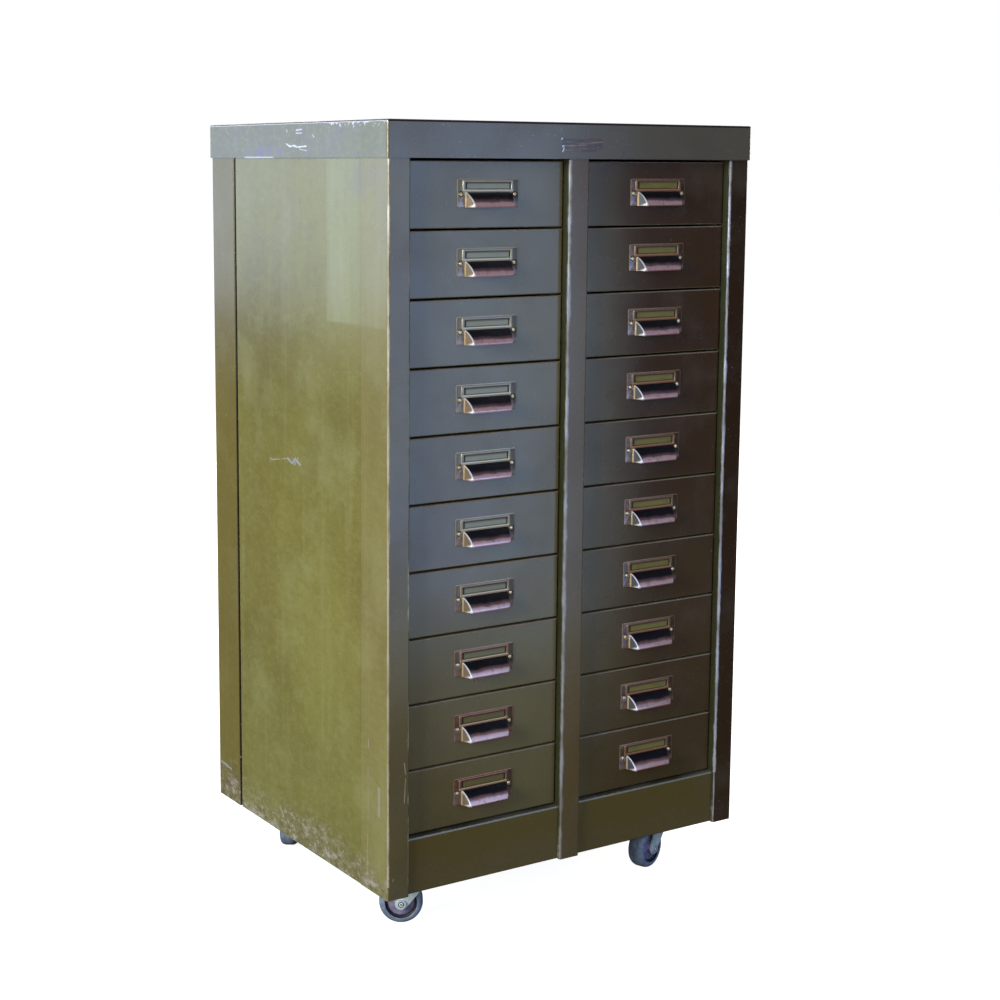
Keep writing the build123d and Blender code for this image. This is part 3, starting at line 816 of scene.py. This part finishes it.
ENAMEL = enamel("olive_enamel")
SCRATCHED = {
    "side_left": enamel("olive_enamel_side", BODY_SCRATCHES),
    "top_cap": enamel("olive_enamel_cap", CAP_SCRATCHES),
}
SCRATCHED["rear_post_left"] = SCRATCHED["side_left"]
INNER = dull_enamel("inner_steel")
ZINC = zinc("zinc_plate")
RUBBER = rubber("grey_rubber")
BRONZE = bronze("aged_bronze")
RIVET = rivet_metal("rivet_metal")
RIVET_SHADE = rivet_shade("rivet_shade")
CARD = card_stock("card_stock")
GROOVE_SHADE = groove_shade("groove_shade")
WHEEL_WEB = wheel_web("wheel_web")
SLOT_MATERIAL = {
    "olive_enamel": ENAMEL,
    "inner_steel": INNER,
    "zinc_plate": ZINC,
    "grey_rubber": RUBBER,
    "aged_bronze": BRONZE,
}
for part in frame["record"]["subparts"]:
    shown = frame["nodes"][part["node"]]
    for held in shown.material_slots:
        held.material = SCRATCHED.get(part["node"], SLOT_MATERIAL[part["material_slot"]])


# ---- mesh helpers ----------------------------------------------------
def rounded_rectangle(low_x, high_x, low_z, high_z, radius, steps=4):
    """Points (x, z) anticlockwise round a rectangle with rounded corners."""
    centres = (
        (high_x - radius, low_z + radius, -90), (high_x - radius, high_z - radius, 0),
        (low_x + radius, high_z - radius, 90), (low_x + radius, low_z + radius, 180),
    )
    points = []
    for x, z, begin in centres:
        for step in range(steps + 1):
            turn = math.radians(begin + 90 * step / steps)
            points.append((x + radius * math.cos(turn), z + radius * math.sin(turn)))
    return points


def skin(bm, rings, material=0, closed=True):
    """Quads between rings of points that have the same count."""
    rows = [[bm.verts.new(point) for point in ring] for ring in rings]
    for row, following in zip(rows, rows[1:]):
        count = len(row)
        for i in range(count if closed else count - 1):
            j = (i + 1) % count
            face = bm.faces.new((row[i], row[j], following[j], following[i]))
            face.material_index = material
    return rows


def lid(bm, row, material=0):
    """One flat face over a ring of vertices."""
    face = bm.faces.new(row)
    face.material_index = material
    return face


def turned(bm, matrix, profile, steps, material=0):
    """A profile of (radius, along) points turned round the z axis of matrix."""
    rings = []
    for radius, along in profile:
        ring = []
        for step in range(steps):
            turn = math.tau * step / steps
            ring.append(matrix @ Vector((radius * math.cos(turn), radius * math.sin(turn), along)))
        rings.append(ring)
    return skin(bm, rings, material)


def piece(name, bm, materials, body, smooth_angle=40):
    """The finished mesh as an object that rides on a body."""
    bmesh.ops.recalc_face_normals(bm, faces=bm.faces)
    mesh = bpy.data.meshes.new(name)
    bm.to_mesh(mesh)
    bm.free()
    for material in materials:
        mesh.materials.append(material)
    mesh.shade_smooth()
    mesh.set_sharp_from_angle(angle=math.radians(smooth_angle))
    made = bpy.data.objects.new(name, mesh)
    bpy.context.scene.collection.objects.link(made)
    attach(made, body)
    return made


# ---- pulls: one pressing with a label frame over a finger cup, riveted to the drawer ----
def hood_profile(steps=12):
    """(out, up) points down the hood, which bulges between the plate and its lip."""
    top, lip = Vector((0, HOOD_HEIGHT)), Vector((HOOD_DEPTH, HOOD_LIP))
    bulge = Vector((HOOD_HEIGHT - HOOD_LIP, HOOD_DEPTH)).normalized() * HOOD_BULGE * 4
    points = []
    for step in range(steps + 1):
        share = step / steps
        points.append(top.lerp(lip, share) + bulge * share * (1 - share))
    points.append(Vector((HOOD_DEPTH, 0)))
    return points


def hood(seat):
    """The cup over the fingers: a bent shell with leaning ends and rounded arrises."""
    bm = bmesh.new()
    profile = hood_profile()
    left, right = skin(bm, [
        [Vector((side * (HOOD_WIDTH / 2 - HOOD_LEAN * out), -out, up)) for out, up in profile]
        for side in (-1, 1)
    ], closed=False)
    for side, row in ((-1, left), (1, right)):
        lid(bm, [*row, bm.verts.new((side * HOOD_WIDTH / 2, 0, 0))])
    arrises = [
        edge for row in (left, right) for a, b in zip(row, row[1:])
        for edge in a.link_edges if edge.other_vert(a) is b
    ]
    bmesh.ops.bevel(
        bm, geom=arrises, offset=HOOD_ARRIS, segments=4, profile=0.5, affect="EDGES",
        clamp_overlap=True,
    )
    rim = [edge for edge in bm.edges if len(edge.link_faces) == 1]
    copied = bmesh.ops.duplicate(bm, geom=[*bm.verts, *bm.edges, *bm.faces])
    inner = copied["vert_map"]
    shrink = Vector((
        1 - 2 * HOOD_SHEET / HOOD_WIDTH, 1 - HOOD_SHEET / HOOD_DEPTH, 1 - HOOD_SHEET / HOOD_HEIGHT
    ))
    for vert in [v for v in copied["geom"] if isinstance(v, bmesh.types.BMVert)]:
        vert.co *= shrink
    for edge in rim:
        a, b = edge.verts
        bm.faces.new((a, b, inner[b], inner[a]))
    bmesh.ops.recalc_face_normals(bm, faces=bm.faces)
    bmesh.ops.translate(bm, verts=bm.verts, vec=seat)
    mesh = bpy.data.meshes.new("hood")
    bm.to_mesh(mesh)
    bm.free()
    return mesh


def pull(name, seat, body):
    """One pull on its drawer; seat is the middle of its lower edge on the drawer's face."""
    bm = bmesh.new()
    notch, notch_top = HOOD_WIDTH / 2 - HOOD_SHEET, HOOD_HEIGHT - HOOD_SHEET
    outline = rounded_rectangle(-HALF_PULL, HALF_PULL, 0, PULL_HEIGHT, CORNER)
    outline += [(-notch, 0), (-notch, notch_top), (notch, notch_top), (notch, 0)]
    back, front = skin(bm, [
        [seat + Vector((x, -out, z)) for x, z in outline] for out in (0, PLATE)
    ])
    lid(bm, back)
    face = lid(bm, front)
    bmesh.ops.bevel(
        bm, geom=list(face.edges), offset=0.3 * MM, segments=2, profile=0.5, affect="EDGES"
    )

    side_bar = (FRAME_WIDTH - WINDOW_WIDTH) / 2
    head_bar = FRAME_HEIGHT - WINDOW_HEIGHT - WINDOW_FOOT
    bars = (
        (1.00, PLATE), (0.90, PLATE + 0.6 * FRAME_OUT), (0.74, FRAME_TOP - 0.1 * MM),
        (0.55, FRAME_TOP), (0.28, FRAME_TOP), (0.10, FRAME_TOP - 0.2 * MM),
        (0.0, FRAME_TOP - 0.8 * MM), (0.0, 0.15 * MM),
    )
    rings = []
    for share, out in bars:
        ring = rounded_rectangle(
            -WINDOW_WIDTH / 2 - share * side_bar, WINDOW_WIDTH / 2 + share * side_bar,
            WINDOW_Z - share * WINDOW_FOOT, WINDOW_TOP + share * head_bar,
            (0.4 + 1.4 * share) * MM,
        )
        rings.append([seat + Vector((x, -out, z)) for x, z in ring])
    skin(bm, rings)

    for side in (-1, 1):
        at = seat + Vector((side * RIVET_SPREAD / 2, -PLATE, RIVET_RISE))
        outward = Matrix.Translation(at) @ Matrix.Rotation(math.radians(90), 4, "X")
        # A thin ring round the dome, painted dark as its shade.
        turned(bm, outward, [
            (RIVET_RADIUS + 1.3 * MM, 0.02 * MM), (RIVET_RADIUS + 1.1 * MM, 0.14 * MM),
            (RIVET_RADIUS, 0.05 * MM),
        ], 20, 2)
        turned(bm, outward, [
            (RIVET_RADIUS + 1.9 * MM, 0.02 * MM), (RIVET_RADIUS + 1.6 * MM, 0.30 * MM),
            (RIVET_RADIUS + 1.3 * MM, 0.02 * MM),
        ], 20)
        dome = []
        for step in range(6):
            tilt = math.radians(90 * step / 5)
            dome.append((RIVET_RADIUS * math.cos(tilt) + 0.05 * MM, 1.3 * MM * math.sin(tilt)))
        rows = turned(bm, outward, dome, 20, 1)
        lid(bm, rows[-1], 1)
    bmesh.ops.recalc_face_normals(bm, faces=bm.faces)
    bm.from_mesh(hood(seat))
    made = piece(
        name.replace("pull", "pressed_pull"), bm, (BRONZE, RIVET, RIVET_SHADE), body
    )
    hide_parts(name)


def label_card(name, seat, body):
    """The blank card in the label frame, bowed a little where it is held at both ends."""
    bm = bmesh.new()
    play = 0.25 * MM
    rows = []
    for layer in (0, 1):
        for up in (play, WINDOW_HEIGHT - play):
            row = []
            for step in range(13):
                share = step / 12
                across = (share - 0.5) * (WINDOW_WIDTH - 2 * play)
                bow = 0.3 * MM * math.sin(math.pi * share)
                out = PLATE + 0.05 * MM + bow + layer * 0.3 * MM
                row.append(seat + Vector((across, -out, WINDOW_Z + up)))
            rows.append(row)
    skin(bm, [rows[0], rows[1], rows[3], rows[2], rows[0]], closed=False)
    bmesh.ops.remove_doubles(bm, verts=bm.verts, dist=1e-6)
    piece(name, bm, (CARD,), body)


for column in COLUMNS:
    for row in range(ROWS):
        drawer = f"{column}{row + 1:02d}"
        low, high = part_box(f"pull_{drawer}")
        seat = Vector((PULL_X[column], high[1], low[2] + PULL_LIFT))
        pull(f"pull_{drawer}", seat, f"drawer_{drawer}")
        label_card(f"label_card_{drawer}", seat, f"drawer_{drawer}")


# ---- wheels: a moulded tyre with recessed flanks, turned round its axle ----
WHEEL_STEPS = 72
TYRE_WIDTH = 26.0 * MM
TYRE_FLANK = 8.5 * MM
HUB_RADIUS = 8.4 * MM
BORE = 4.08 * MM


def on_axle(corner, side=1):
    """The matrix at the middle of a wheel's axle, with its z along the axle to one side."""
    spin = next(j for j in frame["joints"] if j["name"] == f"wheel_{corner}_spin")
    outward = (side * Vector(spin["axis"])).to_track_quat("Z", "Y").to_matrix().to_4x4()
    return Matrix.Translation(Vector(spin["pos_m"])) @ outward


def wheel(corner):
    """One wheel: round-shouldered tread, flat flank ring, dished web and a raised hub."""
    low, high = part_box(f"caster_wheel_{corner}")
    radius = (high[2] - low[2]) / 2
    half = TYRE_WIDTH / 2
    flank = radius - TYRE_FLANK
    outer = [
        (radius, 0), (radius, 0.42 * half), (radius - 0.4 * MM, 0.60 * half),
        (radius - 1.4 * MM, 0.77 * half), (radius - 2.8 * MM, 0.90 * half),
        (radius - 4.6 * MM, 0.975 * half), (radius - 6.0 * MM, half), (flank + 0.7 * MM, half),
        (flank + 0.1 * MM, half - 0.5 * MM),
    ]
    # The dish zone takes the groove's painted shade.
    dish = [
        (flank + 0.1 * MM, half - 0.5 * MM), (flank - 0.5 * MM, half - 4.2 * MM),
        (flank - 1.6 * MM, half - 5.0 * MM), (flank - 3.4 * MM, half - 4.8 * MM),
    ]
    web = [
        (flank - 3.4 * MM, half - 4.8 * MM), (flank - 4.2 * MM, half - 4.0 * MM),
        (HUB_RADIUS + 1.2 * MM, half - 2.6 * MM), (HUB_RADIUS + 0.5 * MM, half - 0.8 * MM),
        (HUB_RADIUS - 0.2 * MM, half), (BORE + 0.5 * MM, half), (BORE, half - 0.5 * MM), (BORE, 0),
    ]
    bm = bmesh.new()
    for face in (1, -1):
        for zone, material in ((outer, 0), (dish, 1), (web, 2)):
            profile = [(reach, face * along) for reach, along in zone]
            turned(bm, on_axle(corner), profile, WHEEL_STEPS, material)
    bmesh.ops.remove_doubles(bm, verts=bm.verts, dist=1e-6)
    made = piece(
        f"rubber_wheel_{corner}", bm, (RUBBER, GROOVE_SHADE, WHEEL_WEB), f"wheel_{corner}",
        35,
    )
    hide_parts(f"caster_wheel_{corner}")


for corner in CORNERS:
    wheel(corner)


# ---- axle ends: a peened ring on each side of a yoke -----------------
AXLE_REACH = 19.6 * MM


def axle_ends(corner):
    """The two peened ends of a wheel's axle, each a ring round a small hollow; the hollow and the groove inside
    the ring are painted dark as shade.
    """
    bm = bmesh.new()
    for side in (-1, 1):
        flange = [
            (5.4 * MM, AXLE_REACH - 0.1 * MM), (5.2 * MM, AXLE_REACH + 0.1 * MM),
            (4.3 * MM, AXLE_REACH + 0.2 * MM),
        ]
        groove = [
            (4.3 * MM, AXLE_REACH + 0.2 * MM), (3.9 * MM, AXLE_REACH), (3.4 * MM, AXLE_REACH),
            (3.1 * MM, AXLE_REACH + 0.3 * MM),
        ]
        end = [
            (3.1 * MM, AXLE_REACH + 0.3 * MM), (2.7 * MM, AXLE_REACH + 0.9 * MM),
            (2.0 * MM, AXLE_REACH + 1.1 * MM), (1.2 * MM, AXLE_REACH + 0.8 * MM),
        ]
        for zone, material in ((flange, 0), (groove, 1), (end, 0)):
            rows = turned(bm, on_axle(corner, side), zone, 24, material)
        lid(bm, rows[-1], 1)
    bmesh.ops.remove_doubles(bm, verts=bm.verts, dist=1e-6)
    piece(f"axle_ends_{corner}", bm, (ZINC, GROOVE_SHADE), f"caster_{corner}", 35)


for corner in CORNERS:
    axle_ends(corner)


# ---- caster bolts: four under each mounting plate --------------------
CASTER_PLATE = 3.0 * MM
CASTER_PLATE_LENGTH = 70.0 * MM
BOLT_FLATS = 10.0 * MM
BOLT_HEAD = 3.2 * MM
BOLT_IN = 7.0 * MM


def plate_bolts():
    """The heads of the bolts that hold every caster plate to the bottom pan."""
    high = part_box("caster_mounts")[1]
    plate_under = high[2] - CASTER_PLATE
    bm = bmesh.new()
    for corner in CORNERS:
        pivot = next(j for j in frame["joints"] if j["name"] == f"caster_{corner}_swivel")["pos_m"]
        across, along = high[0] - abs(pivot[0]) - BOLT_IN, CASTER_PLATE_LENGTH / 2 - BOLT_IN
        for x in (-1, 1):
            for y in (-1, 1):
                at = Vector((pivot[0] + x * across, pivot[1] + y * along, plate_under))
                down = Matrix.Translation(at) @ Matrix.Rotation(math.pi, 4, "X")
                rows = turned(bm, down, [
                    (BOLT_FLATS / 1.732, 0), (BOLT_FLATS / 1.732, BOLT_HEAD * 0.8),
                    (BOLT_FLATS / 2.05, BOLT_HEAD),
                ], 6)
                lid(bm, rows[-1])
                rim = BOLT_FLATS * 0.72
                washer = turned(bm, down, [(rim, 0), (rim, 0.8 * MM)], 24)
                lid(bm, washer[-1])
    piece("caster_plate_bolts", bm, (ZINC,), "casing", 25)


plate_bolts()


# ---- stage: floor, light and camera ----------------------------------
def area_light(name, place, target, size, power, colour):
    """A soft rectangular lamp at place, aimed at target."""
    lamp = bpy.data.lights.new(name, "AREA")
    lamp.shape = "RECTANGLE"
    lamp.size, lamp.size_y = size
    lamp.energy = power
    lamp.color = colour
    holder = bpy.data.objects.new(name, lamp)
    holder.location = place
    aim = Vector(target) - Vector(place)
    holder.rotation_euler = aim.to_track_quat("-Z", "Y").to_euler()
    holder.visible_camera = False
    bpy.context.scene.collection.objects.link(holder)


def stage_floor():
    """A wide pale floor that looks white and throws little light back up."""
    sheet = bpy.data.meshes.new("floor")
    far = 30.0
    corners = ((-far, -far, 0), (far, -far, 0), (far, far, 0), (-far, far, 0))
    sheet.from_pydata(corners, [], [(0, 1, 2, 3)])
    floor = bpy.data.objects.new("floor", sheet)
    bpy.context.scene.collection.objects.link(floor)
    g = Graph("floor")
    seen = g.node("ShaderNodeLightPath").outputs["Is Camera Ray"]
    dim = g.node("ShaderNodeBsdfDiffuse", {"Color": (0.10, 0.09, 0.075, 1)})
    pale = g.node("ShaderNodeBsdfDiffuse", {"Color": (0.5, 0.5, 0.5, 1)})
    away = g.node("ShaderNodeVectorMath", {0: g.place}, operation="LENGTH").outputs["Value"]
    fade = g.rise(away, 0.9, 2.2, 0.92, 1.0)
    glow = g.node("ShaderNodeEmission", {"Color": (1, 1, 1, 1), "Strength": fade})
    lit = g.node("ShaderNodeAddShader", {0: pale.outputs[0], 1: glow.outputs[0]})
    both = g.node("ShaderNodeMixShader", {0: seen, 1: dim.outputs[0], 2: lit.outputs[0]})
    out = g.node("ShaderNodeOutputMaterial")
    g.tree.links.new(both.outputs[0], out.inputs[0])
    sheet.materials.append(g.material)


def stage_world():
    """A white studio to the eye, with a much dimmer light of its own."""
    world = bpy.data.worlds.new("studio")
    bpy.context.scene.world = world
    world.use_nodes = True
    tree = world.node_tree
    tree.nodes.clear()
    path, glow, white, both, out = (
        tree.nodes.new("ShaderNode" + kind)
        for kind in ("LightPath", "Background", "Background", "MixShader", "OutputWorld")
    )
    glow.inputs[0].default_value = (0.30, 0.32, 0.36, 1)
    glow.inputs[1].default_value = 0.35
    white.inputs[0].default_value = (1, 1, 1, 1)
    tree.links.new(path.outputs["Is Camera Ray"], both.inputs[0])
    tree.links.new(glow.outputs[0], both.inputs[1])
    tree.links.new(white.outputs[0], both.inputs[2])
    tree.links.new(both.outputs[0], out.inputs[0])


stage_floor()
stage_world()
# Each lamp: its name, where it stands, what it faces, its width and height, watts and colour.
for lamp in (
    ("key", (-5.2, -0.9, 2.0), (-0.3, 0, 0.5), (2.8, 2.4), 385, (1.0, 0.985, 0.86)),
    ("sky_card", (-1.95, 2.9, 1.5), (-0.3, 0, 1.3), (1.7, 1.8), 25, (0.5, 0.66, 1.0)),
    ("blue_card", (0.58, -1.5, 0.68), (-0.1, -0.26, 0.66), (0.58, 1.2), 8.6, (0.33, 0.55, 1.0)),
    ("front_fill", (-1.9, -4.2, 1.5), (0, -0.26, 0.55), (2.2, 2.0), 48, (1.0, 0.94, 0.84)),
    ("right_fill", (3.6, 1.2, 1.9), (0.3, 0.2, 0.5), (2.0, 2.0), 110, (1.0, 0.98, 0.95)),
    ("back_fill", (0.6, 4.2, 2.2), (0, 0.26, 0.5), (2.4, 2.0), 120, (1.0, 0.98, 0.95)),
    ("top_fill", (0.2, 0.1, 4.2), (0, 0, 1.0), (2.5, 2.5), 60, (1.0, 0.99, 0.97)),
):
    area_light(*lamp)

# The camera: its place in the frame, how it is turned in radians, its lens and its shift.
EYE = (-1.5208, -2.2868, 1.0574)
TURN = 0.5686
DIP = 0.1428
ROLL = -0.0049
LENS = 65.98
SHIFT = (0.06, -0.07)
ahead = Vector((math.sin(TURN) * math.cos(DIP), math.cos(TURN) * math.cos(DIP), -math.sin(DIP)))
level = Vector((math.cos(TURN), -math.sin(TURN), 0))
downward = ahead.cross(level)
rightward = level * math.cos(ROLL) + downward * math.sin(ROLL)
downward = downward * math.cos(ROLL) - level * math.sin(ROLL)
eye = bpy.data.cameras.new("camera")
eye.sensor_width = 36.0
eye.lens = LENS
eye.shift_x, eye.shift_y = SHIFT
camera = bpy.data.objects.new("camera", eye)
camera.matrix_world = Matrix((*zip(rightward, -downward, -ahead, EYE), (0, 0, 0, 1)))
bpy.context.scene.collection.objects.link(camera)
bpy.context.scene.camera = camera
bpy.context.scene.view_settings.view_transform = "Standard"
